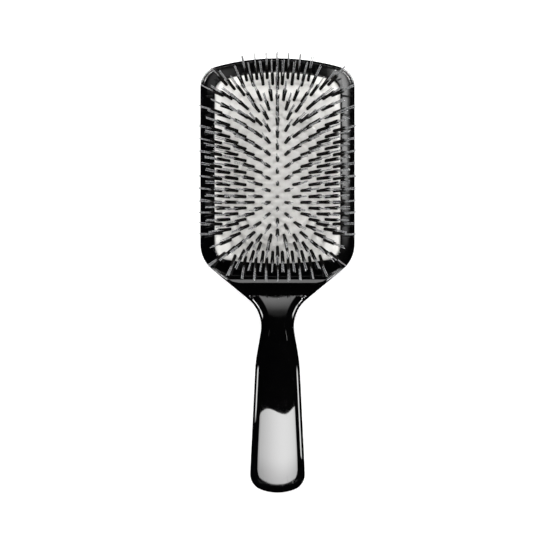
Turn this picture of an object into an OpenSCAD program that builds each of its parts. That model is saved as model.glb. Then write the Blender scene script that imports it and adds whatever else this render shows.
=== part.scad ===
// Cushioned paddle brush. Millimetres. It lies on its flat back: +Z is out of the bristles,
// +Y runs from the handle's end to the top of the head, X is across.

/* [Body] */
// Width of the head across its outer lip
head_width = 85; // [84.6:0.1:85.4]
// Height of the head's lip above the back
rim_z = 11.4; // [11.2:0.1:11.6]
// Height of the front face in the dip below the head
valley_z = 8.5; // [8.5:0.1:9.4]
// Height of the handle's front face at its thickest
grip_z = 13.3; // [12.4:0.1:14.5]
// Radius of the rounding round the back
back_round = 3.9; // [3:0.1:4]
// Radius of the rounding along the head's front edge
head_round = 1.25; // [0.9:0.05:1.3]
// Radius of the rounding along the handle's front edges
grip_round = 4.4; // [3.5:0.1:4.6]
// Width of the lip round the frame
lip_width = 1.6; // [1.4:0.1:1.7]
// Height of the ledge that the pad's brim lies on
ledge_z = 8.6; // [8.4:0.1:8.8]
// Height of the air chamber's floor
chamber_z = 4.2; // [3.4:0.1:4.2]

/* [Frame] */
// Height of the retaining frame's top face
frame_top_z = 12.4; // [12.1:0.1:12.4]
// Rounding of the frame's top edges
frame_round = 0.8; // [0.5:0.1:0.9]
// Radius of the snap pegs under the frame
peg_r = 0.8; // [0.6:0.05:0.85]

/* [Cushion] */
// Height of the pad's crown
pad_crown_z = 14.8; // [14.6:0.1:15.4]
// Fall of the pad from its crown to its sides
pad_fall_x = 2.6; // [2:0.1:2.8]
// Fall of the pad from its crown to its ends
pad_fall_y = 2.0; // [1.6:0.1:2.2]
// Wall thickness of the pad
pad_wall = 1.8; // [1.4:0.1:1.9]
// Radius of the vent hole
vent_r = 0.9; // [0.6:0.1:1]

/* [Tufts] */
// Distance between neighbouring lengthwise columns
column_pitch = 4.48; // [4.4:0.02:4.5]
// Distance between tufts in a column
row_pitch = 6.6; // [6.4:0.1:6.8]
// Radius of a bristle bundle at the pad
bundle_r = 0.8; // [0.7:0.02:0.82]
// Radius of a bristle bundle at its tip
bundle_tip_r = 1.1; // [1:0.05:1.2]
// Length of the bristles above the pad
bristle_length = 13.5; // [12:0.5:14]
// Length of the nylon filaments above the pad
nylon_length = 25; // [22:0.5:25]
// Radius of a nylon filament
nylon_r = 0.225; // [0.2:0.005:0.225]
// Steepest lean of the tufts towards the sides, in degrees
side_lean = 29.5; // [24:0.5:30]
// Steepest lean of the tufts at the head's top end, in degrees
top_lean = 23.5; // [16:0.5:23.5]
// Steepest lean of the tufts at the handle end, in degrees
low_lean = 28.5; // [24:0.5:30]
// Radius of a staple wire
staple_r = 0.16; // [0.12:0.01:0.17]

/* [Hidden] */
$fn = 96;
// Plan of the head: the lip's outline, from its arched top to the shoulders.
total_length = 240;
half_w = head_width / 2;
top_y = total_length / 2;
end_y = -total_length / 2;
arch_r = 127;
arch_c = [0, top_y - arch_r];
top_corner_r = 11.5;
low_corner_r = 18;
low_corner_c = [half_w - low_corner_r, 17.5];
shoulder_turn = 50;
neck_r = 19.8;
neck_c = [28.85, -28.2];
neck_turn = 10;
flare_r = 83;
flare_c = [-70.54, -56.51];
flare_end = 2.8;
butt_corner_r = 9;
butt_corner_c = [6.15, -109.85];
butt_r = 26;
butt_c = [0, end_y + butt_r];

// Plans of the head's fittings: half width, top, top arch radius, top corner radius,
// bottom, bottom arch radius, bottom corner radius.
pocket = [half_w - lip_width, top_y - lip_width, arch_r - lip_width, 10, -1.2, 350, 17.4];
window = [34.6, 111.9, 119.4, 7.6, 6.9, 200, 8];
arch_steps = 9;
corner_steps = 6;

frame_gap = 0.1;
frame_under_z = ledge_z + 1.2;
frame_skirt = 1.2;
brim_gap = 0.05;
brim_edge = 4.4;
chamber_edge = 1.2;
skirt_gap = 0.15;
skirt_wall = 1.5;
peg_edge = 2.75;
peg_length = 2.4;
peg_bore_r = peg_r;
brim_hole_r = peg_r + 0.15;

pad_mid_y = (window[1] + window[4]) / 2;
pad_half_y = (window[1] - window[4]) / 2;
pad_rx = (pow(window[0], 2) + pow(pad_fall_x, 2)) / (2 * pad_fall_x);
pad_ry = (pow(pad_half_y, 2) + pow(pad_fall_y, 2)) / (2 * pad_fall_y);
vent_y = 21.2;

columns = 15;
mid_row_y = 43.4;
low_row_pitch = 6.2;
hole_gap = 0.06;
leg_gap = 0.41;
top_rows = [109.2, 105.7];
top_row_r = 108;
top_steps = [5.65, 5.3];
low_rows = [9.2, 12.8];
low_row_r = 200;
low_steps = [5.85, 5.3];
low_lift = [0.01, 0.06];
field_y = [30, 86];
row_clear = 3.6;

// Tufts between the even middle field and the end rows, as [x, y] on the right half. Those off
// the middle line stand on the left half too.
top_spots = [
  [0, 103], [0, 94.3], [0, 88.5], [3.3, 96.7], [4.7, 91.5], [5.5, 86.3], [9.1, 96.7],
  [10.3, 90.4], [13.4, 95.9], [16.6, 91.9], [16.7, 87], [13, 84.7], [18.5, 99.6], [20.8, 95.6],
  [24.9, 91.5], [25.5, 97.5], [30.4, 99.4], [26.4, 87], [31.2, 89.8]
];
low_spots = [
  [0, 25.2], [0, 15.6], [4.2, 27.9], [3.6, 22.3], [4.6, 18.1], [9.6, 29.2], [9, 22.4],
  [9.3, 17.9], [12.9, 23.8], [14, 18.1], [16.3, 27.5], [18.6, 19.2], [20.9, 23.3], [26, 19.7],
  [22.2, 28.7], [26.3, 25.7], [31.1, 23.5], [31.2, 28.5]
];

// ---- small helpers ----
function two(n) = n < 10 ? str("0", n) : str(n);
function ease(t) = (1 - cos(180 * min(max(t, 0), 1))) / 2;
function turn(a) = [cos(a), sin(a)];

// Points on an arc, without its last one unless asked for.
function arc(c, r, a0, a1, n, last = 0) =
  [for (i = [0 : n - 1 + last]) c + r * turn(a0 + (a1 - a0) * i / n)];

// A rounded head plan from its seven measures, clockwise from the left end of its top arch.
function plan(h) =
  let (
    tc = [0, h[1] - h[2]],
    bc = [0, h[4] + h[5]],
    tk = [h[0] - h[3], tc.y + sqrt(pow(h[2] - h[3], 2) - pow(h[0] - h[3], 2))],
    bk = [h[0] - h[6], bc.y - sqrt(pow(h[5] - h[6], 2) - pow(h[0] - h[6], 2))],
    ta = atan2(tk.y - tc.y, tk.x),
    ba = atan2(bk.y - bc.y, bk.x)
  )
  concat(
    arc(tc, h[2], 180 - ta, ta, arch_steps),
    arc(tk, h[3], ta, 0, corner_steps, 1),
    arc(bk, h[6], 0, ba, corner_steps),
    arc(bc, h[5], ba, -180 - ba, arch_steps),
    arc([-bk.x, bk.y], h[6], -180 - ba, -180, corner_steps, 1),
    arc([-tk.x, tk.y], h[3], 180, 180 - ta, corner_steps)
  );

// The same plan moved inwards by d.
function inset(h, d) = h + d * [-1, -1, -1, -1, 1, -1, -1];

// ---- paddle body ----
// Right half of the outline as [x, y, outward x, outward y], from the head's top to the butt.
function edge_arc(c, r, a0, a1, n, s = 1, last = 0) =
  [for (i = [0 : n - 1 + last])
    let (t = turn(a0 + (a1 - a0) * i / n)) [c.x + r * t.x, c.y + r * t.y, s * t.x, s * t.y]];
function between(p, q, n) = [for (i = [1 : n - 1]) p + (q - p) * i / n];

arch_end = atan2(
  sqrt(pow(arch_r - top_corner_r, 2) - pow(half_w - top_corner_r, 2)), half_w - top_corner_r);
top_corner_c = [half_w - top_corner_r, arch_c.y + (arch_r - top_corner_r) * sin(arch_end)];
butt_start = atan2(butt_corner_c.y - butt_c.y, butt_corner_c.x);

head_edge = concat(
  edge_arc(arch_c, arch_r, 90, arch_end, 5),
  edge_arc(top_corner_c, top_corner_r, arch_end, 0, 7, 1, 1),
  edge_arc(low_corner_c, low_corner_r, 0, -shoulder_turn, 7, 1, 1)
);
neck_edge = concat(
  edge_arc(neck_c, neck_r, 180 - shoulder_turn, 180 + neck_turn, 10, -1, 1),
  edge_arc(flare_c, flare_r, neck_turn, flare_end, 4, 1, 1)
);
butt_edge = concat(
  edge_arc(butt_corner_c, butt_corner_r, flare_end, butt_start, 7),
  edge_arc(butt_c, butt_r, butt_start, -90, 4, 1, 1)
);
side = concat(
  head_edge,
  between(head_edge[len(head_edge) - 1], neck_edge[0], 6),
  neck_edge,
  between(neck_edge[len(neck_edge) - 1], butt_edge[0], 8),
  butt_edge
);
last = len(side) - 1;
loop_length = 2 * last;

// Height of the front face along the body, and how its edges and its crown change.
neck_top_y = -1.6;
valley_y = -10.4;
grip_y = -52;
grip_arc_r = 780;
dip_start = 0.73;
function dip(t) = t * (dip_start + (1 - dip_start) * t);
function front_z(y) =
  y > valley_y
  ? rim_z - (rim_z - valley_z) * dip(max((neck_top_y - y) / (neck_top_y - valley_y), 0))
  : y > grip_y ? valley_z + (grip_z - valley_z) * sin(90 * (valley_y - y) / (valley_y - grip_y))
  : grip_z - pow(y - grip_y, 2) / (2 * grip_arc_r);
function front_round(y) = head_round + (grip_round - head_round) * ease((3 - y) / 17);
function crown(y) = 0.6 * ease((valley_y - 9 - y) / 31);

function edge_point(i, d) = [side[i][0] - d * side[i][2], side[i][1] - d * side[i][3]];
function back_point(i, a) =
  let (p = edge_point(i, back_round * (1 - sin(a)))) [p.x, p.y, back_round * (1 - cos(a))];
function front_point(i, a) =
  let (r = front_round(side[i][1]), p = edge_point(i, r * (1 - cos(a))))
  [p.x, p.y, front_z(p.y) - r * (1 - sin(a))];
function around(level) = concat(
  level, [for (i = [last - 1 : -1 : 1]) [-level[i].x, level[i].y, level[i].z]]);

back_steps = 4;
front_steps = 5;
levels = concat(
  [for (k = [0 : back_steps]) [for (i = [0 : last]) back_point(i, 90 * k / back_steps)]],
  [for (k = [0 : front_steps]) [for (i = [0 : last]) front_point(i, 90 * k / front_steps)]]
);
shell_points = [for (level = levels) each around(level)];
rungs = [-0.6, 0, 0.6];
rung_points = [for (i = [1 : last - 1], t = rungs)
  let (p = levels[len(levels) - 1][i]) [t * p.x, p.y, p.z + crown(p.y) * (1 - t * t)]];

function left_of(i) = i == 0 || i == last ? i : loop_length - i;
top_level = (len(levels) - 1) * loop_length;
first_rung = len(shell_points);
// Point j of 0 to 4 across the front, from the left edge to the right one.
function across(i, j) =
  i == 0 || i == last ? top_level + i
  : j == 0 ? top_level + left_of(i)
  : j == 4 ? top_level + i
  : first_rung + (i - 1) * len(rungs) + j - 1;

wall_faces = [for (k = [0 : len(levels) - 2], i = [0 : loop_length - 1])
  let (a = k * loop_length + i, b = k * loop_length + (i + 1) % loop_length)
  each [[a, b, a + loop_length], [b, b + loop_length, a + loop_length]]];
back_faces = [for (i = [0 : last - 1])
  each concat(
    i == 0 ? [] : [[i, left_of(i), i + 1]],
    i == last - 1 ? [] : [[i + 1, left_of(i), left_of(i + 1)]])];
front_faces = [for (i = [0 : last - 1], j = [0 : 3])
  each concat(
    i == 0 ? [] : [[across(i, j), across(i, j + 1), across(i + 1, j)]],
    i == last - 1 ? [] : [[across(i + 1, j), across(i, j + 1), across(i + 1, j + 1)]])];

module body_blank() {
  polyhedron(
    points = concat(shell_points, rung_points),
    faces = concat(wall_faces, back_faces, front_faces),
    convexity = 6
  );
}

// Ten places round the frame for its snap pegs.
function peg_places() =
  let (w = window[0] + peg_edge)
  concat(
    [for (s = [-1, 1], y = [22, 48, 74, 98]) [s * w, y]],
    [[-14, window[1] + peg_edge - 0.8], [14, window[1] + peg_edge - 0.8]],
    [[-14, window[4] - peg_edge + 0.5], [14, window[4] - peg_edge + 0.5]]
  );

module paddle_body() {
  color([0.02, 0.02, 0.022])
  difference() {
    body_blank();
    translate([0, 0, ledge_z])
      linear_extrude(height = 10) polygon(plan(pocket));
    translate([0, 0, chamber_z])
      linear_extrude(height = 10) polygon(plan(inset(window, -chamber_edge)));
    for (p = peg_places())
      translate([p.x, p.y, ledge_z - peg_length - 0.2]) cylinder(r = peg_bore_r, h = 5);
  }
}

// ---- retaining frame ----
// Section of the ring as [share of the way from its inner edge to its outer one, offset, height].
frame_in = inset(window, 0);
frame_out = inset(pocket, frame_gap);
frame_inner = plan(frame_in);
frame_outer = plan(frame_out);
frame_section = concat(
  [[0, 0, frame_under_z]],
  [for (a = [0 : 22.5 : 90])
    [0, frame_round * (1 - cos(a)), frame_top_z - frame_round * (1 - sin(a))]],
  [for (a = [90 : -22.5 : 0])
    [1, -frame_round * (1 - cos(a)), frame_top_z - frame_round * (1 - sin(a))]],
  [[1, 0, ledge_z], [1, -frame_skirt, ledge_z], [1, -frame_skirt, frame_under_z]]
);
ring_n = len(frame_inner);
section_n = len(frame_section);
function toward(p, q, s, d) =
  let (v = q - p, u = v / norm(v)) p + s * v + d * u;
ring_points = [for (i = [0 : ring_n - 1], s = frame_section)
  let (p = toward(frame_inner[i], frame_outer[i], s[0], s[1])) [p.x, p.y, s[2]]];
ring_faces = [for (i = [0 : ring_n - 1], k = [0 : section_n - 1])
  let (
    a = i * section_n, b = ((i + 1) % ring_n) * section_n,
    m = (k + 1) % section_n
  )
  each [[a + k, a + m, b + k], [a + m, b + m, b + k]]];

module cushion_frame() {
  color([0.05, 0.05, 0.055])
  union() {
    polyhedron(points = ring_points, faces = ring_faces, convexity = 6);
    for (p = peg_places())
      translate([p.x, p.y, ledge_z - peg_length])
        cylinder(r = peg_r, h = peg_length + 1.8);
  }
}

// ---- rubber cushion ----
function dome_z(x, y) =
  let (r = pad_ry - pad_rx + sqrt(pow(pad_rx, 2) - x * x))
  pad_crown_z - pad_ry + sqrt(r * r - pow(y - pad_mid_y, 2));

// Everything under the dome, lowered by d: a wide arc turned about an axis across the head.
module under_dome(d, reach = 9) {
  translate([0, pad_mid_y, pad_crown_z - pad_ry])
  rotate([0, 90, 0]) rotate([0, 0, 180])
  rotate([0, 0, -6])
  rotate_extrude(angle = 12, $fn = 360)
  intersection() {
    translate([pad_ry - pad_rx, 0]) circle(r = pad_rx - d, $fn = 720);
    translate([pad_ry - reach, -37]) square([reach + 1, 74]);
  }
}

module cushion() {
  color([0.93, 0.91, 0.86])
  difference() {
    union() {
      intersection() {
        under_dome(0);
        translate([0, 0, ledge_z + brim_gap])
          linear_extrude(height = 8) polygon(plan(inset(window, skirt_gap)));
      }
      translate([0, 0, ledge_z + brim_gap])
        linear_extrude(height = frame_under_z - ledge_z - 2 * brim_gap)
          polygon(plan(inset(window, -brim_edge)));
    }
    intersection() {
      under_dome(pad_wall, 12);
      translate([0, 0, ledge_z - 1])
        linear_extrude(height = 9) polygon(plan(inset(window, skirt_gap + skirt_wall)));
    }
    for (p = peg_places())
      translate([p.x, p.y, ledge_z - 1]) cylinder(r = brim_hole_r, h = 3);
    translate([0, vent_y, ledge_z]) cylinder(r = vent_r, h = 9);
    for (c = [1 : columns], p = column(c))
      at_root(p) translate([0, 0, -wire_depth(p) - 1])
        cylinder(r = bundle_r + hole_gap, h = wire_depth(p) + 3);
  }
}

// ---- where the tufts stand ----
function arch_drop(r, x) = r - sqrt(r * r - x * x);
function top_row(n) = [for (k = [-5 : 5])
  let (x = top_steps[n] * (k + (n == 1 ? 0.5 : 0)))
  if (n == 0 ? abs(k) != 4 : k < 5) [x, top_rows[n] - arch_drop(top_row_r, x)]];
function low_row(n) = [for (k = [-5 : 5])
  let (x = low_steps[n] * (k + (n == 1 ? 0.5 : 0)), e = max(abs(x) - 19, 0))
  if (n == 0 || k < 5) [x, low_rows[n] + arch_drop(low_row_r, x) + low_lift[n] * e * e]];
function both_sides(spots) = [for (p = spots, s = [1, -1]) if (s > 0 || p.x > 0) [s * p.x, p.y]];
end_rows = concat(
  top_row(0), top_row(1), low_row(0), low_row(1), both_sides(top_spots), both_sides(low_spots));

function lattice_y(c, k) =
  let (s = k + (abs(c) % 2) / 2) mid_row_y + s * (s < 0 ? low_row_pitch : row_pitch);
function nearest(p, list) = min([for (q = list) norm(p - q)]);
function field(c) = [for (k = [-5 : 10])
  let (p = [c * column_pitch, lattice_y(c, k)])
  if (p.y > field_y[0] && p.y < field_y[1] && nearest(p, end_rows) > row_clear) p];

// A column's tufts: its part of the field, and the end-row tufts nearest to it.
function column(n) =
  let (c = n - (columns + 1) / 2)
  concat(field(c), [for (p = end_rows) if (column_of(p.x) == c) p]);
function column_of(x) = round(x / (column_pitch + 0.02 * sign(x)));

// ---- how the tufts lean ----
function side_pull(x) =
  let (u = min(abs(x) / 31.4, 1))
  sin(side_lean) * sign(x) * (1 - pow(1 - u, 2.6) - 0.17 * pow(u, 8));
function end_pull(y) =
  y > 50 ? sin(top_lean) * pow((y - 50) / 59.8, 1.5) : -sin(low_lean) * pow((50 - y) / 40.4, 1.2);
function near_side(x) = pow(window[0] - abs(x), -2);
function near_end(y) = pow(min(window[1] - y, y - window[4]), -2);
function side_share(p) = near_side(p.x) / (near_side(p.x) + near_end(p.y));
function lean(p) =
  let (s = pow(side_share(p) / side_share([p.x, 60]), 0.6))
  let (e = pow((1 - side_share(p)) / (1 - side_share([0, p.y])), 0.6))
  [side_pull(p.x) * s, end_pull(p.y) * e];
function tilt(p) = asin(min(norm(lean(p)), 0.56));
function heading(p) = atan2(lean(p).y, lean(p).x);
function wire_depth(p) = (pad_wall + staple_r + 0.3) / cos(tilt(p));

// Local frame of a tuft: origin on the pad's surface, Z along the tuft, X the way it leans.
module at_root(p) {
  translate([p.x, p.y, dome_z(p.x, p.y)])
  rotate([0, 0, heading(p)]) rotate([0, tilt(p), 0])
  children();
}

// ---- one tuft ----
module bundle(p) {
  down = wire_depth(p) - 0.3;
  difference() {
    union() {
      translate([0, 0, -down]) cylinder(r = bundle_r, h = down + 0.01);
      cylinder(r1 = bundle_r, r2 = bundle_tip_r, h = bristle_length);
    }
    for (s = [-1, 1])
      translate([s * leg_gap, 0, -down - 1])
        cylinder(r = nylon_r + 0.01, h = down + bristle_length + 2);
  }
}

module hairpin(p) {
  down = wire_depth(p);
  union() {
    for (s = [-1, 1])
      translate([s * leg_gap, 0, -down]) cylinder(r = nylon_r, h = down + nylon_length);
    translate([0, 0, -down])
      rotate([-90, 0, 0]) rotate_extrude(angle = 180)
        translate([leg_gap, 0]) circle(r = nylon_r);
  }
}

module staple(p) {
  translate([0, -1.5, -wire_depth(p)]) rotate([-90, 0, 0]) cylinder(r = staple_r, h = 3);
}

module bristles(n) {
  color([0.09, 0.075, 0.065])
  for (p = column(n)) at_root(p) bundle(p);
}

module nylon(n) {
  color([0.8, 0.8, 0.78])
  for (p = column(n)) at_root(p) hairpin(p);
}

module staples(n) {
  color([0.7, 0.7, 0.72])
  for (p = column(n)) at_root(p) staple(p);
}

paddle_body();
cushion_frame();
cushion();
for (c = [1 : columns]) {
  bristles(c);
  nylon(c);
  staples(c);
}
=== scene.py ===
"""Cushioned paddle brush lying on its back: the finished look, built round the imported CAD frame.

Shapes are worked out in millimetres and become metres where a mesh is made. +Y runs to the top of
the head, +Z is out of the bristles.
"""

import math

import bmesh
import bpy
import numpy as np
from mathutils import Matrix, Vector


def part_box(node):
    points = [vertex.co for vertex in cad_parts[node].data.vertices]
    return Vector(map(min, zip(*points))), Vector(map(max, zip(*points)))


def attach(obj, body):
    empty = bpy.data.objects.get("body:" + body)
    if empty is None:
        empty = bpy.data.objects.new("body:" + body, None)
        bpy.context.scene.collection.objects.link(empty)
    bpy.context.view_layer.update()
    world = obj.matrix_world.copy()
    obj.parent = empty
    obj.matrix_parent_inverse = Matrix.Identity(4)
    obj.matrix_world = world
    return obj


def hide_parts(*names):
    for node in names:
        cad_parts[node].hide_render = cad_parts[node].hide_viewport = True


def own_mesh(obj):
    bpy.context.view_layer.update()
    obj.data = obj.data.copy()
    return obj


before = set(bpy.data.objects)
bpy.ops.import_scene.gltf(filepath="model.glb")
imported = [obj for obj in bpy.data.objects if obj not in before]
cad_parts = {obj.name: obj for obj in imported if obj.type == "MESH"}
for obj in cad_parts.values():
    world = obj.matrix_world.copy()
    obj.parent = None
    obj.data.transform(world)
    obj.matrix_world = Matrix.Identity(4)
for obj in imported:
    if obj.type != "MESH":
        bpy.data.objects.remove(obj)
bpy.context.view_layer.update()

MM = 0.001


def cad_mm(node):
    """A CAD node's lowest and highest corner, in millimetres."""
    low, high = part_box(node)
    return np.array(low) / MM, np.array(high) / MM


# ---- sizes of the body and its fittings, in millimetres ----
BODY_LOW, BODY_HIGH = cad_mm("paddle_body")
_, RING_HIGH = cad_mm("cushion_frame")
PAD_LOW, PAD_HIGH = cad_mm("cushion")

HALF_W = BODY_HIGH[0]
TOP_Y = BODY_HIGH[1]
END_Y = BODY_LOW[1]
RIM_Z = 11.4
LEDGE_Z = 8.6
CHAMBER_Z = 4.2
VALLEY_Z = 8.5
GRIP_Z = 13.3
BACK_ROUND = 3.9
LIP_ROUND = 1.25
GRIP_ROUND = 4.4
CROWN = 0.6
CROWN_HALF = 12.0
CROWN_START = 9
CROWN_RUN = 31
ROUND_START = 3
ROUND_RUN = 17

ARCH_R = 127.0
TOP_CORNER_R = 11.5
LOW_CORNER_R = 18.0
LOW_CORNER_C = (HALF_W - LOW_CORNER_R, 17.5)
SHOULDER_TURN = 50.0
NECK_R = 19.8
NECK_C = (28.85, -28.2)
NECK_TURN = 10.0
FLARE_R = 83.0
FLARE_C = (-70.54, -56.51)
FLARE_END = 2.8
BUTT_CORNER_R = 9.0
BUTT_CORNER_C = (6.15, -109.85)
BUTT_R = 26.0
BUTT_C = (0.0, END_Y + BUTT_R)

NECK_TOP_Y = -1.6
VALLEY_Y = -10.4
DIP_START = 0.73
GRIP_Y = -52.0
GRIP_ARC_R = 780.0

# Plans of the head's fittings: half width, top, top arch radius, top corner radius, bottom,
# bottom arch radius, bottom corner radius.
LIP_WIDTH = 1.6
POCKET = np.array(
    [HALF_W - LIP_WIDTH, TOP_Y - LIP_WIDTH, ARCH_R - LIP_WIDTH, 10, -1.2, 350, 17.4])
WINDOW = np.array([34.6, 111.9, 119.4, 7.6, 6.9, 200, 8])
INWARD = np.array([-1, -1, -1, -1, 1, -1, -1])
POCKET_FILLET = 0.3
CHAMBER_EDGE = 1.2

RING_GAP = 0.1
RING_TOP = RING_HIGH[2]
RING_UNDER = 9.8
RING_ROUND = 0.8
RING_SKIRT = 1.2

PAD_TOP = PAD_HIGH[2]
PAD_FALL = (2.6, 2.0)
PAD_WALL = 1.8
PAD_GAP = 0.15
SKIRT_WALL = 1.5
BRIM_LOW = PAD_LOW[2]
BRIM_HIGH = RING_UNDER - 0.05
BRIM_EDGE = PAD_HIGH[0] - WINDOW[0]


# ---- helpers ----
def turn(degrees):
    """The x and y of a unit ray at an angle."""
    a = np.radians(degrees)
    return np.array([np.cos(a), np.sin(a)])


def ease(t):
    """A smooth step from 0 to 1."""
    return (1 - np.cos(np.pi * np.clip(t, 0, 1))) / 2


def arc(centre, radius, start, end, step=3.0, side=1):
    """Rows of x, y, outward x and outward y along an arc, start and end in degrees."""
    n = max(2, math.ceil(abs(end - start) / step))
    rays = turn(np.linspace(start, end, n + 1)).T
    return np.hstack([np.array(centre) + radius * rays, side * rays])


def chained(parts, spacings):
    """Stretches of outline joined by straight lines, whose points are so far apart."""
    rows = [parts[0]]
    for part, spacing in zip(parts[1:], spacings):
        a, b = rows[-1][-1], part[0]
        gap = np.linalg.norm(b[:2] - a[:2])
        n = math.ceil(gap / spacing) if gap > 0.02 else 1
        if n > 1:
            rows.append(np.array([a + (b - a) * k / n for k in range(1, n)]))
        rows.append(part if gap > 0.02 else part[1:])
    return np.vstack(rows)


def new_piece(name, points, faces, sharp=None, smooth=True):
    """A mesh object from points in millimetres."""
    mesh = bpy.data.meshes.new(name)
    mesh.from_pydata((np.asarray(points, float) * MM).tolist(), [], faces)
    mesh.validate()
    piece = bpy.data.objects.new(name, mesh)
    bpy.context.scene.collection.objects.link(piece)
    if smooth:
        mesh.shade_smooth()
    if sharp is not None:
        mesh.set_sharp_from_angle(angle=math.radians(sharp))
    return piece


def loft(loops, closed=False):
    """Quads between loops of equal length, each loop closed on itself."""
    n = len(loops[0])
    pairs = [(k, k + 1) for k in range(len(loops) - 1)]
    if closed:
        pairs.append((len(loops) - 1, 0))
    return [(a * n + i, a * n + (i + 1) % n, b * n + (i + 1) % n, b * n + i)
            for a, b in pairs for i in range(n)]


def applied(piece):
    """Replaces the piece's mesh with what its modifiers make of it."""
    graph = bpy.context.evaluated_depsgraph_get()
    mesh = bpy.data.meshes.new_from_object(piece.evaluated_get(graph), depsgraph=graph)
    piece.modifiers.clear()
    piece.data = mesh
    return piece


def finished(piece, body, slot, material, *nodes):
    """Gives a piece its material and its body, and hides the CAD nodes that it stands for; slot is
    not used.
    """
    piece.data.materials.clear()
    piece.data.materials.append(material)
    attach(piece, body)
    if nodes:
        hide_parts(*nodes)
    return piece


# ---- plans ----
def inset(plan, distance):
    """A plan drawn in by a distance on every side."""
    return plan + distance * INWARD


def plan_corners(plan):
    """Corner centres and where the arcs meet, at a plan's top and bottom."""
    half, top, top_r, top_k, low, low_r, low_k = plan
    top_c = np.array([0, top - top_r])
    low_c = np.array([0, low + low_r])
    top_corner = np.array([
        half - top_k, top_c[1] + math.sqrt((top_r - top_k) ** 2 - (half - top_k) ** 2)])
    low_corner = np.array([
        half - low_k, low_c[1] - math.sqrt((low_r - low_k) ** 2 - (half - low_k) ** 2)])
    return top_c, top_corner, low_c, low_corner


def plan_loop(plan, arch_n=40, corner_n=16, side_n=30):
    """A plan's points, clockwise from the left end of its top arch, evenly spread on each part."""
    _, _, top_r, top_k, _, low_r, low_k = plan
    top_c, top_corner, low_c, low_corner = plan_corners(plan)
    top_a = math.degrees(math.atan2(top_corner[1] - top_c[1], top_corner[0]))
    low_a = math.degrees(math.atan2(low_corner[1] - low_c[1], low_corner[0]))

    def stretch(centre, radius, start, end, n):
        return centre + radius * turn(np.linspace(start, end, n, endpoint=False)).T

    def line(a, b):
        return a + (b - a) * np.linspace(0, 1, side_n, endpoint=False)[:, None]

    flip = np.array([-1, 1])
    right = [top_corner + [top_k, 0], low_corner + [low_k, 0]]
    left = [low_corner * flip - [low_k, 0], top_corner * flip - [top_k, 0]]
    return np.vstack([
        stretch(top_c, top_r, 180 - top_a, top_a, arch_n),
        stretch(top_corner, top_k, top_a, 0, corner_n),
        line(*right),
        stretch(low_corner, low_k, 0, low_a, corner_n),
        stretch(low_c, low_r, low_a, -180 - low_a, arch_n),
        stretch(low_corner * flip, low_k, -180 - low_a, -180, corner_n),
        line(*left),
        stretch(top_corner * flip, top_k, 180, 180 - top_a, corner_n),
    ])


def plan_span(plan, x):
    """The lowest and highest y of a plan at each x."""
    _, _, top_r, top_k, _, low_r, low_k = plan
    top_c, top_corner, low_c, low_corner = plan_corners(plan)
    x = np.abs(x)
    top_meet = top_corner[0] * top_r / (top_r - top_k)
    low_meet = low_corner[0] * low_r / (low_r - low_k)
    arch = top_c[1] + np.sqrt(top_r ** 2 - x ** 2)
    round_off = np.sqrt(np.maximum(top_k ** 2 - (x - top_corner[0]) ** 2, 0))
    high = np.where(x < top_meet, arch, top_corner[1] + round_off)
    bowl = low_c[1] - np.sqrt(low_r ** 2 - x ** 2)
    round_off = np.sqrt(np.maximum(low_k ** 2 - (x - low_corner[0]) ** 2, 0))
    low = np.where(x < low_meet, bowl, low_corner[1] - round_off)
    return low, high


# ---- paddle body ----
def body_side():
    """The right half of the outline, from the head's top to the handle's end."""
    reach = ARCH_R - TOP_CORNER_R
    span = HALF_W - TOP_CORNER_R
    arch_end = math.degrees(math.atan2(math.sqrt(reach ** 2 - span ** 2), span))
    arch_c = (0, TOP_Y - ARCH_R)
    corner_c = (span, arch_c[1] + reach * math.sin(math.radians(arch_end)))
    rise = BUTT_CORNER_C[1] - BUTT_C[1]
    butt_start = math.degrees(math.atan2(rise, BUTT_CORNER_C[0]))
    side = chained(
        [
            arc(arch_c, ARCH_R, 90, arch_end, 0.7),
            arc(corner_c, TOP_CORNER_R, arch_end, 0),
            arc(LOW_CORNER_C, LOW_CORNER_R, 0, -SHOULDER_TURN),
            arc(NECK_C, NECK_R, 180 - SHOULDER_TURN, 180 + NECK_TURN, 2, -1),
            arc(FLARE_C, FLARE_R, NECK_TURN, FLARE_END, 0.8),
            arc(BUTT_CORNER_C, BUTT_CORNER_R, FLARE_END, butt_start, 3.5),
            arc(BUTT_C, BUTT_R, butt_start, -90, 2.5),
        ],
        [1, 3, 0.5, 1, 1.2, 1],
    )
    side[0, 0] = side[-1, 0] = 0
    side[0, 2:], side[-1, 2:] = (0, 1), (0, -1)
    return side


def front_height(y):
    """Height of the front face along its middle line, without the crown."""
    fall = np.clip((NECK_TOP_Y - y) / (NECK_TOP_Y - VALLEY_Y), 0, 1)
    dip = RIM_Z - (RIM_Z - VALLEY_Z) * fall * (DIP_START + (1 - DIP_START) * fall)
    climb = VALLEY_Z + (GRIP_Z - VALLEY_Z) * np.sin(
        np.pi / 2 * np.clip((VALLEY_Y - y) / (VALLEY_Y - GRIP_Y), 0, 1))
    grip = GRIP_Z - (y - GRIP_Y) ** 2 / (2 * GRIP_ARC_R)
    return np.where(y > VALLEY_Y, dip, np.where(y > GRIP_Y, climb, grip))


def front_face(x, y):
    """Height of the front face, which grows a crown from the neck to the grip."""
    crown = CROWN * ease((VALLEY_Y - CROWN_START - y) / CROWN_RUN)
    return front_height(y) + crown * (1 - (x / CROWN_HALF) ** 2)


def edge_round(y):
    """Radius of the front edge, small round the head and large along the grip."""
    return LIP_ROUND + (GRIP_ROUND - LIP_ROUND) * ease((ROUND_START - y) / ROUND_RUN)


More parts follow.
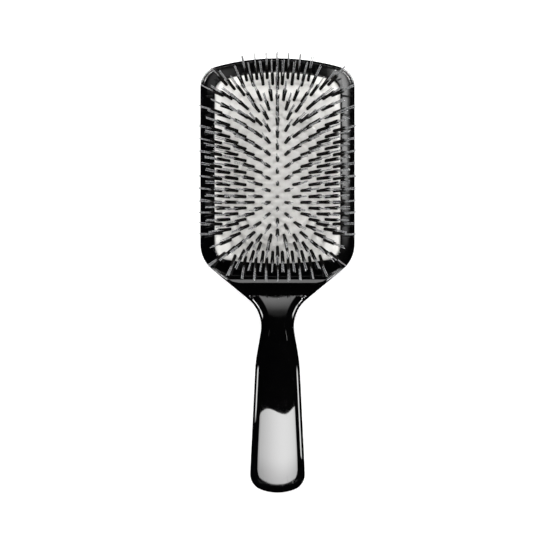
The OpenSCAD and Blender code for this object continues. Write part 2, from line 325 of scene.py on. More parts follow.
def front_levels(side, steps):
    """Loops of the rounding between the side wall and the front face, from the wall inwards."""
    p, n = side[:, :2], side[:, 2:]
    r = edge_round(p[:, 1])
    inner, lean = p - r[:, None] * n, 0
    for _ in range(3):
        ahead = inner + 0.05 * n
        here = front_face(*inner.T)
        lean = np.arctan((here - front_face(*ahead.T)) / 0.05)
        inner = p - (r * (1 - np.sin(lean)))[:, None] * n
    middle = inner - (r * np.sin(lean))[:, None] * n
    middle_z = front_face(*inner.T) - r * np.cos(lean)
    loops = []
    for k in range(steps + 1):
        a = np.pi / 2 + (lean - np.pi / 2) * k / steps
        flat = middle + (r * np.sin(a))[:, None] * n
        loops.append(np.column_stack([flat, middle_z + r * np.cos(a)]))
    return loops


def back_levels(side, steps):
    """Loops of the rounding between the flat back and the side wall, from the back outwards."""
    p, n = side[:, :2], side[:, 2:]
    loops = []
    for a in np.linspace(0, np.pi / 2, steps + 1):
        flat = p - BACK_ROUND * (1 - np.sin(a)) * n
        loops.append(np.column_stack([flat, np.full(len(p), BACK_ROUND * (1 - np.cos(a)))]))
    return loops


def body_shell(columns=20):
    """The closed shell of the body, before its pocket is cut."""
    side = body_side()
    last = len(side) - 1
    halves = back_levels(side, 7) + front_levels(side, 9)
    loops = [np.vstack([h, h[last - 1:0:-1] * [-1, 1, 1]]) for h in halves]
    n = 2 * last
    points = np.vstack(loops)
    faces = [f[::-1] for f in loft(loops)]
    edge = halves[-1]
    top = (len(loops) - 1) * n
    rungs = []
    crease = int(np.argmin(np.abs(edge[:last, 1] - VALLEY_Y)))
    for i in range(1, last):
        x = edge[i, 0] * np.linspace(-1, 1, columns + 1)[1:-1]
        y = np.full(len(x), VALLEY_Y if i == crease else edge[i, 1])
        rungs.append(np.column_stack([x, y, front_face(x, y)]))
    first = len(points)
    points = np.vstack([points] + rungs)

    def rung(i):
        if i in (0, last):
            return [top + i] * (columns + 1)
        start = first + (i - 1) * (columns - 1)
        return [top + n - i, *range(start, start + columns - 1), top + i]

    for i in range(last):
        a, b = rung(i), rung(i + 1)
        for j in range(columns):
            corners = list(dict.fromkeys([a[j], b[j], b[j + 1], a[j + 1]]))
            faces.append(tuple(corners))
        corners = list(dict.fromkeys([i, i + 1, (n - i - 1) % n, (n - i) % n]))
        faces.append(tuple(corners))
    return new_piece("paddle_shell", points, faces)


def pocket_cutter():
    """The space of the air chamber and the ring's pocket, with the lip's inner rounding."""
    chamber = plan_loop(inset(WINDOW, -CHAMBER_EDGE))
    pocket = plan_loop(POCKET)
    levels = [(chamber, CHAMBER_Z), (chamber, LEDGE_Z), (pocket, LEDGE_Z)]
    for a in np.linspace(0, 90, 5):
        out = POCKET_FILLET * (1 - math.cos(math.radians(a)))
        z = RIM_Z - POCKET_FILLET * (1 - math.sin(math.radians(a)))
        levels.append((plan_loop(inset(POCKET, -out)), z))
    levels.append((levels[-1][0], RIM_Z + 5))
    loops = [np.column_stack([flat, np.full(len(flat), z)]) for flat, z in levels]
    n = len(pocket)
    faces = loft(loops)
    faces.append(tuple(range(n - 1, -1, -1)))
    faces.append(tuple((len(loops) - 1) * n + i for i in range(n)))
    return new_piece("pocket_cutter", np.vstack(loops), faces)


def outward(piece):
    """Turns every face of a closed mesh outwards."""
    shape = bmesh.new()
    shape.from_mesh(piece.data)
    bmesh.ops.recalc_face_normals(shape, faces=shape.faces)
    shape.to_mesh(piece.data)
    shape.free()
    return piece


def weighted_normals(piece, sharp=27):
    """Smooth shading that keeps broad faces flat and creases sharp."""
    piece.data.shade_smooth()
    piece.data.set_sharp_from_angle(angle=math.radians(sharp))
    steady = piece.modifiers.new("steady_normals", "WEIGHTED_NORMAL")
    steady.keep_sharp = True
    return piece


def make_body():
    """The moulding: the closed shell with the pocket and the air chamber cut out of it."""
    shell = outward(body_shell())
    cutter = outward(pocket_cutter())
    cut = shell.modifiers.new("pocket", "BOOLEAN")
    cut.object = cutter
    cut.solver = "EXACT"
    applied(shell)
    bpy.data.objects.remove(cutter)
    return weighted_normals(shell)


# ---- retaining ring ----
def ring_section():
    """Section points: share of the way from the inner edge to the outer, offset, height."""
    rows = [(0, 0, RING_UNDER)]
    for a in np.radians(np.linspace(0, 90, 7)):
        rows.append((0, RING_ROUND * (1 - math.cos(a)), RING_TOP - RING_ROUND * (1 - math.sin(a))))
    for a in np.radians(np.linspace(90, 0, 7)):
        rows.append((1, -RING_ROUND * (1 - math.cos(a)), RING_TOP - RING_ROUND * (1 - math.sin(a))))
    return rows + [(1, 0, LEDGE_Z), (1, -RING_SKIRT, LEDGE_Z), (1, -RING_SKIRT, RING_UNDER)]


def make_ring():
    """The frame: one section carried round between the window and the pocket."""
    inner = plan_loop(WINDOW)
    outer = plan_loop(inset(POCKET, RING_GAP))
    way = outer - inner
    unit = way / np.linalg.norm(way, axis=1)[:, None]
    loops = []
    for share, offset, z in ring_section():
        flat = inner + share * way + offset * unit
        loops.append(np.column_stack([flat, np.full(len(flat), z)]))
    ring = new_piece("retaining_ring", np.vstack(loops), loft(loops, closed=True))
    return weighted_normals(outward(ring))


# ---- tufts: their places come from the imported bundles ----
def solids_of(node):
    """The points of each separate solid in a CAD node, in millimetres."""
    shape = bmesh.new()
    shape.from_mesh(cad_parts[node].data)
    bmesh.ops.remove_doubles(shape, verts=shape.verts, dist=1e-6)
    seen, groups = set(), []
    for start in shape.verts:
        if start in seen:
            continue
        seen.add(start)
        group, edge = [], [start]
        while edge:
            v = edge.pop()
            group.append(tuple(v.co))
            for link in v.link_edges:
                other = link.other_vert(v)
                if other not in seen:
                    seen.add(other)
                    edge.append(other)
        groups.append(np.array(group) / MM)
    shape.free()
    return groups


def axis_of(points):
    """The lower and upper end of a round solid's axis."""
    middle = points.mean(0)
    _, _, rays = np.linalg.svd(points - middle, full_matrices=False)
    axis = rays[0] if rays[0][2] > 0 else -rays[0]
    flat = (points - middle) @ rays[1:].T
    centre = middle + ((flat.min(0) + flat.max(0)) / 2) @ rays[1:]
    along = (points - centre) @ axis
    return centre + along.min() * axis, centre + along.max() * axis


def dome(x, y):
    """The pad's outer surface: an arc across, turned about a far axis across the head."""
    low, high = WINDOW[4], WINDOW[1]
    half = (high - low) / 2
    rx = (WINDOW[0] ** 2 + PAD_FALL[0] ** 2) / (2 * PAD_FALL[0])
    ry = (half ** 2 + PAD_FALL[1] ** 2) / (2 * PAD_FALL[1])
    r = ry - rx + np.sqrt(rx ** 2 - x ** 2)
    return PAD_TOP - ry + np.sqrt(r ** 2 - (y - (low + high) / 2) ** 2)


def tuft_of(points):
    """A tuft's place on the pad, its axis, its depth under the pad and its height above it."""
    low, high = axis_of(points)
    axis = (high - low) / np.linalg.norm(high - low)
    way = 2.0
    for _ in range(6):
        spot = low + way * axis
        way -= (spot[2] - dome(spot[0], spot[1])) / axis[2]
    return low + way * axis, axis, way, np.linalg.norm(high - low) - way


COLUMNS = [f"{n:02d}" for n in range(1, 16)]
TUFTS = {c: [tuft_of(s) for s in solids_of(f"bristles_{c}")] for c in COLUMNS}
ROOTS = np.array([tuft[0] for c in COLUMNS for tuft in TUFTS[c]])


def cross_frame(axis, rng):
    """Two directions square to a tuft's axis; the first lies across its lean."""
    lean = math.hypot(axis[0], axis[1])
    heading = math.atan2(axis[1], axis[0]) + math.pi / 2
    twist = rng.normal(0, 0.45) if lean > 0.08 else rng.uniform(0, math.pi)
    flat = np.array([math.cos(heading), math.sin(heading), 0])
    flat -= axis * (flat @ axis)
    first = flat / np.linalg.norm(flat)
    second = np.cross(axis, first)
    return (math.cos(twist) * first + math.sin(twist) * second,
            math.cos(twist) * second - math.sin(twist) * first)


def tube(path, radii, sides, a, b):
    """A capped tube along path, with rings square to the given directions a and b."""
    rays = turn(np.linspace(0, 360, sides, endpoint=False))
    ring = rays[0][:, None] * a + rays[1][:, None] * b
    points = (path[:, None, :] + radii[:, None, None] * ring[None]).reshape(-1, 3)
    faces = [(k * sides + i, k * sides + (i + 1) % sides,
              (k + 1) * sides + (i + 1) % sides, (k + 1) * sides + i)
             for k in range(len(path) - 1) for i in range(sides)]
    faces.append(tuple(range(sides - 1, -1, -1)))
    faces.append(tuple((len(path) - 1) * sides + i for i in range(sides)))
    return points, faces


class Gather:
    """Collects many small shapes into one piece."""

    def __init__(self):
        self.points, self.faces, self.count = [], [], 0

    def add(self, points, faces):
        self.points.append(points)
        self.faces.extend(tuple(self.count + i for i in f) for f in faces)
        self.count += len(points)

    def piece(self, name):
        return new_piece(name, np.vstack(self.points), self.faces, sharp=50)


BRISTLES = 24
BRISTLE_R = 0.2
BUNDLE_R = 0.74
BRISTLE_ROOT = 0.35
GOLDEN = math.pi * (3 - math.sqrt(5))


def add_bristles(gather, tuft, rng):
    """One bundle of separate bristles, folded in the middle, so its two halves part a little."""
    root, axis, depth, height = tuft
    across, along = cross_frame(axis, rng)
    part = rng.uniform(0.1, 0.5)
    share = np.linspace(0, 1, 7)
    for k in range(BRISTLES):
        ray = BUNDLE_R * math.sqrt((k + 0.5) / BRISTLES)
        a = k * GOLDEN + rng.uniform(-0.2, 0.2)
        u, v = ray * math.cos(a), ray * math.sin(a)
        half = 1 if u > 0 else -1
        tip_u = u + half * part + rng.normal(0, 0.1)
        tip_v = v + rng.normal(0, 0.1)
        reach = height * (1 - 0.09 * rng.random() ** 1.5)
        bend = rng.normal(0, 0.12)
        bow = share ** 2.4
        way = -depth + BRISTLE_ROOT + share * (reach + depth - BRISTLE_ROOT)
        off_u = u + (tip_u - u) * bow + bend * share * (1 - share)
        off_v = v + (tip_v - v) * bow
        path = (root + way[:, None] * axis
                + off_u[:, None] * across + off_v[:, None] * along)
        thick = BRISTLE_R * np.array([1, 1, 1, 1, 0.97, 0.88, 0.4])
        gather.add(*tube(path, thick, 6, across, along))


NYLON_R = 0.225
NYLON_ABOVE = 25.5
NYLON_ROOT = 0.3
NYLON_GAP = 0.27


def add_nylon(gather, tuft, rng):
    """The long filament's two ends, and in some tufts a third."""
    root, axis, depth, _ = tuft
    across, along = cross_frame(axis, rng)
    ends = 3 if rng.random() < 0.3 else 2
    share = np.linspace(0, 1, 10)
    part = rng.uniform(0.1, 0.6)
    bow = rng.normal(0, 0.35)
    for k in range(ends):
        s = (-1, 1, 0)[k]
        u = s * NYLON_GAP
        tip_u = s * part + rng.normal(0, 0.12)
        tip_v = (0.3 if k == 2 else 0) + rng.normal(0, 0.2)
        reach = NYLON_ABOVE - rng.uniform(0, 1.1)
        way = -depth + NYLON_ROOT + share * (reach - NYLON_R + depth - NYLON_ROOT)
        off_u = u + (tip_u - u) * share ** 1.4 + bow * share * (1 - share) * 2
        off_v = tip_v * share ** 1.3
        path = (root + way[:, None] * axis
                + off_u[:, None] * across + off_v[:, None] * along)
        tip = np.radians([30, 55, 78])
        cap = path[-1] + NYLON_R * np.sin(tip)[:, None] * axis
        path = np.vstack([path, cap])
        thick = np.hstack([np.full(len(share), NYLON_R), NYLON_R * np.cos(tip)])
        gather.add(*tube(path, thick, 10, across, along))


# ---- rubber pad ----
PAD_COLUMNS, PAD_ROWS = 140, 200
DIMPLE = 0.38
DIMPLE_REACH = 3.0
GROOVE = 0.32
GROOVE_REACH = 1.5
NEIGHBOUR = 6.0


def pad_grid(plan):
    """Points spread over a plan, closer together towards its sides."""
    u = np.linspace(-1, 1, PAD_COLUMNS + 1)
    x = plan[0] * (0.5 * u + 0.5 * np.sin(np.pi / 2 * u))
    low, high = plan_span(plan, x)
    v = np.linspace(0, 1, PAD_ROWS + 1)
    y = low[:, None] + (high - low)[:, None] * v[None]
    return np.repeat(x, PAD_ROWS + 1), y.ravel()


def dimples(x, y):
    """How far the tufts draw the rubber down: a dimple round each, and a groove to the next."""
    spots = np.column_stack([x, y])
    roots = ROOTS[:, :2]
    near = np.full(len(spots), 1e9)
    groove = np.full(len(spots), 1e9)
    for i, root in enumerate(roots):
        gap = np.linalg.norm(spots - root, axis=1)
        near = np.minimum(near, gap)
        close = gap < GROOVE_REACH + NEIGHBOUR
        for other in roots[i + 1:]:
            way = other - root
            length = np.linalg.norm(way)
            if length > NEIGHBOUR:
                continue
            share = np.clip((spots[close] - root) @ way / length ** 2, 0, 1)
            off = np.linalg.norm(spots[close] - root - share[:, None] * way, axis=1)
            groove[close] = np.minimum(groove[close], off)
    return (DIMPLE * (1 - ease(near / DIMPLE_REACH))
            + GROOVE * (1 - ease(groove / GROOVE_REACH)))


def rim_order():
    """Indices of the grid's edge points, clockwise from its lower left corner."""
    rows = PAD_ROWS + 1
    left = [k for k in range(PAD_ROWS)]
    top = [j * rows + PAD_ROWS for j in range(PAD_COLUMNS)]
    right = [PAD_COLUMNS * rows + k for k in range(PAD_ROWS, 0, -1)]
    bottom = [j * rows for j in range(PAD_COLUMNS, 0, -1)]
    return left + top + right + bottom


def grid_faces(first, flip):
    """Quads of a pad grid whose points start at an index."""
    rows = PAD_ROWS + 1
    faces = []
    for j in range(PAD_COLUMNS):
        for k in range(PAD_ROWS):
            a = first + j * rows + k
            quad = (a, a + rows, a + rows + 1, a + 1)
            faces.append(quad[::-1] if flip else quad)
    return faces


def rim_loop(plan, order):
    """The edge points of a plan, in the order of the grid's rim."""
    x, y = pad_grid(plan)
    return np.column_stack([x[order], y[order]])


def make_pad():
    """The rubber pad: a thin dome over a skirt and a brim, closed underneath."""
    outer = inset(WINDOW, PAD_GAP)
    inner = inset(WINDOW, PAD_GAP + SKIRT_WALL)
    brim = inset(WINDOW, -BRIM_EDGE)
    order = rim_order()
    x, y = pad_grid(outer)
    top = np.column_stack([x, y, dome(x, y) - dimples(x, y)])
    x, y = pad_grid(inner)
    under = np.column_stack([x, y, dome(x, y) - PAD_WALL])
    steps = [(outer, BRIM_HIGH), (brim, BRIM_HIGH), (brim, BRIM_LOW), (inner, BRIM_LOW)]
    loops = []
    for plan, z in steps:
        flat = rim_loop(plan, order)
        loops.append(np.column_stack([flat, np.full(len(flat), z)]))
    points = np.vstack([top, under] + loops)
    size, n = len(top), len(order)
    faces = grid_faces(0, False) + grid_faces(size, True)
    start = 2 * size
    edges = [order] + [[start + k * n + i for i in range(n)] for k in range(len(loops))]
    edges.append([size + i for i in order])
    for a, b in zip(edges, edges[1:]):
        faces += [(a[i], a[(i + 1) % n], b[(i + 1) % n], b[i]) for i in range(n)]
    pad = outward(new_piece("rubber_pad", points, faces))
    pad.data.set_sharp_from_angle(angle=math.radians(50))
    return pad


# ---- materials ----
class Nodes:
    """Short calls for building a node material."""

    def __init__(self, name):
        self.material = bpy.data.materials.new(name)
        self.material.use_nodes = True
        self.tree = self.material.node_tree
        self.tree.nodes.clear()
        self.output = self.tree.nodes.new("ShaderNodeOutputMaterial")
        self.shader = self.tree.nodes.new("ShaderNodeBsdfPrincipled")
        self.link(self.shader.outputs[0], self.output.inputs["Surface"])
        self.place = self.tree.nodes.new("ShaderNodeTexCoord").outputs["Object"]

    def link(self, a, b):
        self.tree.links.new(a, b)

    def set(self, **values):
        for name, value in values.items():
            self.shader.inputs[name.replace("_", " ")].default_value = value

    def stretched(self, scale):
        node = self.tree.nodes.new("ShaderNodeMapping")
        node.inputs["Scale"].default_value = scale
        self.link(self.place, node.inputs["Vector"])
        return node.outputs[0]

    def noise(self, scale, detail=3.0, roughness=0.55, place=None):
        node = self.tree.nodes.new("ShaderNodeTexNoise")
        node.inputs["Scale"].default_value = scale
        node.inputs["Detail"].default_value = detail
        node.inputs["Roughness"].default_value = roughness
        self.link(place or self.place, node.inputs["Vector"])
        return node.outputs["Fac"]

    def ramp(self, value, *stops):
        """Maps a value to colours: each stop is a place and a grey or a colour."""
        node = self.tree.nodes.new("ShaderNodeValToRGB")
        ramp = node.color_ramp
        while len(ramp.elements) < len(stops):
            ramp.elements.new(0.5)
        for element, (place, colour) in zip(ramp.elements, stops):
            grey = isinstance(colour, (int, float))
            element.position = place
            element.color = (colour,) * 3 + (1,) if grey else (*colour, 1)
        self.link(value, node.inputs["Fac"])
        return node.outputs["Color"]

    def mix(self, kind, share, a, b):
        node = self.tree.nodes.new("ShaderNodeMix")
        node.data_type = "RGBA"
        node.blend_type = kind
        node.inputs["Factor"].default_value = share
        self.link(a, node.inputs[6])
        self.link(b, node.inputs[7])
        return node.outputs[2]

    def bump(self, height, strength, distance, under=None):
        node = self.tree.nodes.new("ShaderNodeBump")
        node.inputs["Strength"].default_value = strength
        node.inputs["Distance"].default_value = distance
        self.link(height, node.inputs["Height"])
        if under is not None:
            self.link(under, node.inputs["Normal"])
        return node.outputs["Normal"]

    def drive(self, name, value):
        self.link(value, self.shader.inputs[name])


def gloss_black(name, rough, seed_scale):
    """Polished black plastic: faint flow in its colour, hairline scratches and a little dust."""
    n = Nodes(name)
    n.drive("Base Color", n.ramp(
        n.noise(seed_scale, 4), (0.3, (0.0004, 0.0004, 0.0005)), (0.75, (0.0011, 0.0011, 0.0012))))
    haze = n.ramp(n.noise(60, 5), (0.35, rough), (0.8, rough * 1.9))
    hairs = n.ramp(n.noise(900, 2, 0.4, n.stretched((1, 0.035, 1))), (0.66, 0.0), (0.74, 0.05))
    dust = n.ramp(n.noise(2600, 1, 0.3), (0.76, 0.0), (0.8, 0.12))
    n.drive("Roughness", n.mix("ADD", 1, n.mix("ADD", 1, haze, hairs), dust))
    n.drive("Normal", n.bump(n.noise(45, 2), 0.04, 0.0003))
    n.set(IOR=1.5, Specular_IOR_Level=0.5)
    return n.material


def ivory_rubber():
    """Moulded soft rubber: ivory, mottled, with a fine matte grain."""
    n = Nodes("ivory_rubber")
    tint = n.ramp(
        n.noise(120, 5, 0.6), (0.3, (0.79, 0.778, 0.745)), (0.7, (0.85, 0.84, 0.815)))
    specks = n.ramp(n.noise(1500, 2), (0.35, 0.95), (0.62, 1.0))
    n.drive("Base Color", n.mix("MULTIPLY", 1, tint, specks))
    n.drive("Roughness", n.ramp(n.noise(300, 4), (0.3, 0.58), (0.75, 0.74)))
    soft = n.bump(n.noise(260, 3), 0.25, 0.0003)
    n.drive("Normal", n.bump(n.noise(2200, 3), 0.3, 0.00008, soft))
    n.set(IOR=1.5, Specular_IOR_Level=0.4)
    return n.material


def dark_bristle():
    """Near-black bristle with a fine lengthwise streak and a dull shine."""
    n = Nodes("dark_bristle")
    streaks = n.noise(700, 3, 0.6, n.stretched((1, 1, 0.25)))
    n.drive("Base Color", n.ramp(
        streaks, (0.4, (0.0008, 0.0007, 0.0006)), (0.75, (0.006, 0.0052, 0.0046))))
    n.drive("Roughness", n.ramp(n.noise(1200, 3), (0.3, 0.42), (0.75, 0.62)))
    n.drive("Normal", n.bump(n.noise(3500, 2), 0.2, 0.00003))
    n.set(IOR=1.5, Specular_IOR_Level=0.03)
    return n.material


def clear_nylon():
    """Translucent nylon filament: pale, cloudy inside, with a soft shine."""
    n = Nodes("clear_nylon")
    n.drive("Base Color", n.ramp(
        n.noise(350, 3), (0.3, (0.27, 0.273, 0.28)), (0.7, (0.4, 0.404, 0.41))))
    n.drive("Roughness", n.ramp(n.noise(900, 3), (0.3, 0.2), (0.75, 0.36)))
    n.drive("Normal", n.bump(n.noise(1800, 2), 0.12, 0.00004))
    n.set(IOR=1.53, Transmission_Weight=0.3)
    return n.material


def staple_steel():
    """Drawn steel wire, with faint lengthwise streaks."""
    n = Nodes("staple_steel")
    n.drive("Base Color", n.ramp(
        n.noise(1400, 4), (0.3, (0.42, 0.42, 0.43)), (0.75, (0.6, 0.6, 0.62))))
    n.drive("Roughness", n.ramp(
        n.noise(2500, 3, 0.5, n.stretched((1, 0.1, 1))), (0.3, 0.22), (0.75, 0.42)))
    n.set(Metallic=1.0)
    return n.material


def pale_floor():
    """The plain white table top."""
    n = Nodes("pale_floor")
    n.drive("Base Color", n.ramp(n.noise(3, 4), (0.3, 0.93), (0.7, 0.95)))
    n.drive("Roughness", n.ramp(n.noise(9, 3), (0.3, 0.6), (0.7, 0.72)))
    n.set(Specular_IOR_Level=0.1, Emission_Strength=0.25)
    return n.material


# ---- studio, in metres ----
CAMERA_PLACE = (0.0011, -0.0020, 0.75)
CAMERA_LENS = 86.4
LIGHT_AIM = (0, 0.02, 0)
CEILING = 1.2
CARD_ROWS = 12
WALL_RADIUS = 1.6
FLOOR_HALF = 3.0
BACKDROP_RADIUS = 2.4


def make_camera():
    """Straight above the brush, at the photograph's framing."""
    data = bpy.data.cameras.new("camera")
    data.sensor_width = 36
    data.lens = CAMERA_LENS
    data.clip_start, data.clip_end = 0.05, 20
    camera = bpy.data.objects.new("camera", data)
    camera.location = CAMERA_PLACE
    bpy.context.scene.collection.objects.link(camera)
    bpy.context.scene.camera = camera


def make_floor(material):
    """A wide level sheet under the brush, unseen by the gloss."""
    half = FLOOR_HALF
    corners = [(-half, -half, 0), (half, -half, 0), (half, half, 0), (-half, half, 0)]
    floor = new_piece("floor", np.array(corners) / MM, [(0, 1, 2, 3)], smooth=False)
    floor.data.materials.append(material)
    floor.visible_glossy = False


def area_light(name, place, size, power):
    """A soft light aimed at the head, unseen by the camera and by the gloss."""
    data = bpy.data.lights.new(name, "AREA")
    data.shape = "RECTANGLE"
    data.size, data.size_y = size
    data.energy = power
    lamp = bpy.data.objects.new(name, data)
    lamp.location = place
    lamp.rotation_euler = (Vector(LIGHT_AIM) - Vector(place)).to_track_quat("-Z", "Y").to_euler()
    lamp.visible_camera = False
    lamp.visible_glossy = False
    bpy.context.scene.collection.objects.link(lamp)


def glow(name, strength):
    """Emission for a reflector card, whose strength follows its mesh's glow attribute."""
    material = bpy.data.materials.new(name)
    material.use_nodes = True
    tree = material.node_tree
    tree.nodes.clear()
    out = tree.nodes.new("ShaderNodeOutputMaterial")
    light = tree.nodes.new("ShaderNodeEmission")
    level = tree.nodes.new("ShaderNodeAttribute")
    scale = tree.nodes.new("ShaderNodeMath")
    level.attribute_name = "glow"
    scale.operation = "MULTIPLY"
    scale.inputs[1].default_value = strength
    tree.links.new(level.outputs["Fac"], scale.inputs[0])
    tree.links.new(scale.outputs[0], light.inputs["Strength"])
    tree.links.new(light.outputs[0], out.inputs["Surface"])
    return material


def card(name, points, faces, levels, strength):
    """A reflector card that only shiny surfaces see."""
    piece = new_piece(name, np.array(points) / MM, faces)
    layer = piece.data.attributes.new("glow", "FLOAT", "POINT")
    layer.data.foreach_set("value", np.array(levels, np.float32))
    piece.data.materials.append(glow(name + "_glow", strength))
    piece.visible_camera = False
    piece.visible_diffuse = False
    piece.visible_shadow = False
    return piece


def ceiling_card(name, x_span, far, near, level, strength, steps=24):
    """A level card overhead. far and near give its y at a share of the way across, and level
    gives the glow at shares across and along."""
    points, levels = [], []
    for i in range(steps + 1):
        s = i / steps
        x = x_span[0] + (x_span[1] - x_span[0]) * s
        for k in range(CARD_ROWS + 1):
            t = k / CARD_ROWS
            points.append((x, near(s) + (far(s) - near(s)) * t, CEILING))
            levels.append(level(s, t))
    faces = []
    for i in range(steps):
        for k in range(CARD_ROWS):
            a = i * (CARD_ROWS + 1) + k
            faces.append((a, a + 1, a + CARD_ROWS + 2, a + CARD_ROWS + 1))
    return card(name, points, faces, levels, strength)


def upright_card(name, place, level, strength, low, high, steps):
    """A card upright on the table. place and level give its foot and glow at a share across."""
    points, levels = [], []
    for i in range(steps + 1):
        s = i / steps
        x, y = place(s)
        points += [(x, y, low), (x, y, high)]
        levels += [level(s), level(s)]
    faces = [(2 * i, 2 * i + 2, 2 * i + 3, 2 * i + 1) for i in range(steps)]
    return card(name, points, faces, levels, strength)


def wall_card(name, azimuths, level, strength, low, high, radius=WALL_RADIUS, steps=24):
    """An upright card on a circle round the table."""
    start, end = azimuths
    return upright_card(name, lambda s: radius * turn(start + (end - start) * s),
                        level, strength, low, high, steps)


def strip_card(name, x, y_span, level, strength, high=0.13, steps=20):
    """A low upright strip beside the handle."""
    start, end = y_span
    return upright_card(name, lambda s: (x, start + (end - start) * s),
                        level, strength, 0.0, high, steps)


def wave(places, heights):
    """A smooth curve through a few places and heights, for the wavy edge of a card."""
    places, heights = np.array(places), np.array(heights)

    def curve(x):
        k = int(np.clip(np.searchsorted(places, x) - 1, 0, len(places) - 2))
        share = (x - places[k]) / (places[k + 1] - places[k])
        return float(heights[k] + (heights[k + 1] - heights[k]) * ease(share))
    return curve


def hump(s, middle, width, floor):
    """A soft peak of height 1 over a floor."""
    return floor + (1 - floor) * math.exp(-((s - middle) / width) ** 2)


def handle_cards():
    """The big card that the handle's broad front shows, and the dim one of the band."""
    half = 0.42
    top = wave([-half, -0.22, -0.125, 0.09, 0.228, half],
               [-0.273, -0.263, -0.252, -0.270, -0.248, -0.241])

    def glow_at(s, t):
        x = half * (2 * s - 1)
        return hump(x, 0.08, 0.30, 0.42) * (0.72 + 0.28 * float(ease(t / 0.4)))

    ceiling_card(
        "handle_card", (-half, half), far=lambda s: top(half * (2 * s - 1)),
        near=lambda s: -0.497 + 0.08 * abs(2 * s - 1) ** 2.6, level=glow_at, strength=18, steps=72)
    ceiling_card(
        "band_card", (-half, half), far=lambda s: -0.585, near=lambda s: -0.745,
        level=lambda s, t: 0.42 + 0.58 * float(ease((t - 0.7) / 0.3)), strength=9)


def neck_card():
    """The small patch of light in the neck, with its wavy upper edge."""
    half = 0.30
    top = wave([-half, -0.024, -0.007, 0.024, half], [0.42, 0.418, 0.4148, 0.421, 0.424])
    ceiling_card(
        "neck_card", (-half, half), far=lambda s: top(half * (2 * s - 1)),
        near=lambda s: 0.362, level=lambda s, t: t, strength=4.2, steps=72)


def rim_cards():
    """Pale light on the ring's right side and a dim one on its top left corner."""
    def rounded(x):
        return 0.284 + 0.026 * math.sqrt(max(0.0, 1 - (max(abs(x) - 0.08, 0) / 0.026) ** 2))

    ceiling_card(
        "rim_card", (0.079, 0.1045), far=lambda s: rounded(0.079 + 0.0255 * s),
        near=lambda s: 0.045, level=lambda s, t: float(ease((t + 0.08) / 0.55)), strength=8)
    ceiling_card(
        "corner_card", (-0.106, -0.05), far=lambda s: rounded(-0.106 + 0.056 * s),
        near=lambda s: 0.268, level=lambda s, t: 1 - float(ease((s - 0.6) / 0.4)), strength=0.9)


def level_flag(name, x_half, y_low, y_high, z):
    """A black card, level, that keeps some card's reflection off a glossy part."""
    corners = [(-x_half, y_low, z), (x_half, y_low, z), (x_half, y_high, z), (-x_half, y_high, z)]
    card(name, corners, [(0, 1, 2, 3)], [0.0] * 4, 1)


def wall_flag(name, start, end, high=0.12):
    """A black card, upright on the table between two places."""
    corners = [(*start, 0), (*end, 0), (*end, high), (*start, high)]
    card(name, corners, [(0, 1, 2, 3)], [0.0] * 4, 1)


def flags():
    """Black cards beside the head's lower corners, over its lower edge and round the end."""
    for name, side in (("left", -1), ("right", 1)):
        wall_flag(f"{name}_corner_flag", (side * 0.056, -0.017), (side * 0.09, 0.04))
        wall_flag(f"{name}_end_flag", (side * 0.085, -0.1 - 0.012 * side), (side * 0.06, -0.17))
    wall_flag("end_flag", (-0.06, -0.17), (0.06, -0.17))
    level_flag("butt_flag", 0.06, -0.2, -0.158, 0.12)
    level_flag("head_flag", 0.045, -0.044, -0.016, 0.1)


def edge_cards():
    """Bright panels at the diagonals and beside the handle, for the thin lines on the edges."""
    def soft(s):
        return float(ease(s / 0.25) * ease((1 - s) / 0.25))

    for name, azimuths in (("top_left", (106, 162)), ("top_right", (74, 18))):
        wall_card(f"{name}_panel", azimuths, soft, 110, low=0.5, high=0.8)
    for name, azimuths in (("left_shoulder", (222, 256)), ("right_shoulder", (318, 284))):
        wall_card(f"{name}_panel", azimuths, soft, 60, low=0.5, high=0.75)
    for name, azimuths in (("left_neck", (226, 190)), ("right_neck", (314, 350))):
        wall_card(f"{name}_panel", azimuths, soft, 26, low=0.08, high=0.42)
    strip_card("left_strip", -0.35, (-0.122, -0.035), soft, 15)
    strip_card("right_strip", 0.35, (-0.18, -0.035), soft, 15)


def make_backdrop():
    """A plain white wall far behind the brush, for views from the side."""
    wall = wall_card("backdrop", (0, 360), lambda s: 1.0, 1, low=-0.1, high=3.0,
                     radius=BACKDROP_RADIUS, steps=72)
    wall.visible_camera = True
    wall.visible_glossy = False


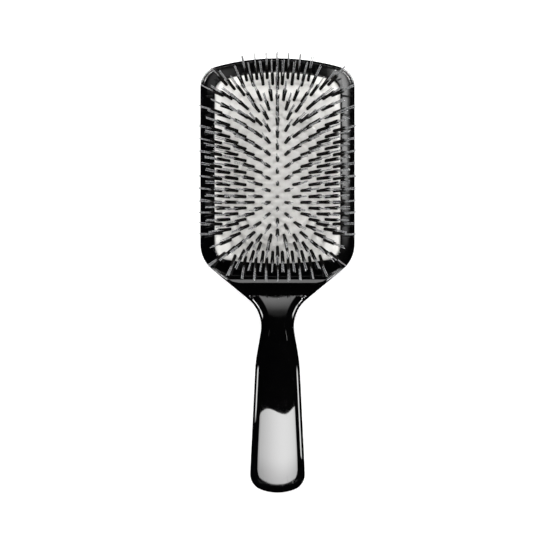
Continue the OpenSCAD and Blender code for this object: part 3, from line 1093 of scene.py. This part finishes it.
def make_world():
    """A dark world: all the light comes from the lights and cards."""
    world = bpy.data.worlds.new("studio")
    world.use_nodes = True
    world.node_tree.nodes["Background"].inputs["Strength"].default_value = 0.0
    bpy.context.scene.world = world
    bpy.context.scene.view_settings.view_transform = "Standard"


def make_studio():
    """Camera, table, backdrop, lights and cards."""
    make_camera()
    make_backdrop()
    make_floor(pale_floor())
    area_light("key_left", (-1.0, 0.5, 1.15), (1.1, 1.1), 23)
    area_light("key_right", (1.0, 0.3, 1.15), (1.1, 1.1), 20)
    area_light("back_fill", (0.1, 1.3, 1.0), (1.3, 0.9), 14)
    area_light("front_fill", (0.0, -1.3, 1.0), (1.3, 0.9), 14)
    handle_cards()
    neck_card()
    rim_cards()
    edge_cards()
    flags()
    make_world()


# ---- the object ----
def place_pad(material):
    """The pad, whose brim sits under the ring, given its material and a mesh of its own."""
    pad = finished(make_pad(), "paddle", "ivory_rubber", material, "cushion")
    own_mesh(pad)


def place_column(column, rng, hair, clear, steel):
    """One lengthwise column of tufts: its bristles, its filaments and the CAD staples."""
    bundles, filaments = Gather(), Gather()
    for tuft in TUFTS[column]:
        add_bristles(bundles, tuft, rng)
        add_nylon(filaments, tuft, rng)
    body = f"tufts_{column}"
    finished(bundles.piece(f"bristle_bundles_{column}"), body, "bristle", hair,
             f"bristles_{column}")
    finished(filaments.piece(f"nylon_filaments_{column}"), body, "nylon", clear,
             f"nylon_{column}")
    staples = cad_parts[f"staples_{column}"]
    staples.data.materials.clear()
    staples.data.materials.append(steel)


def make_object():
    """Every piece of the brush, with its material."""
    black = gloss_black("body_black", 0.018, 30)
    ring_black = gloss_black("frame_black", 0.035, 40)
    rubber, hair, clear, steel = ivory_rubber(), dark_bristle(), clear_nylon(), staple_steel()
    finished(make_body(), "paddle", "body_black", black, "paddle_body")
    finished(make_ring(), "paddle", "frame_black", ring_black, "cushion_frame")
    place_pad(rubber)
    for number, column in enumerate(COLUMNS):
        place_column(column, np.random.default_rng(100 + number), hair, clear, steel)


make_studio()
make_object()
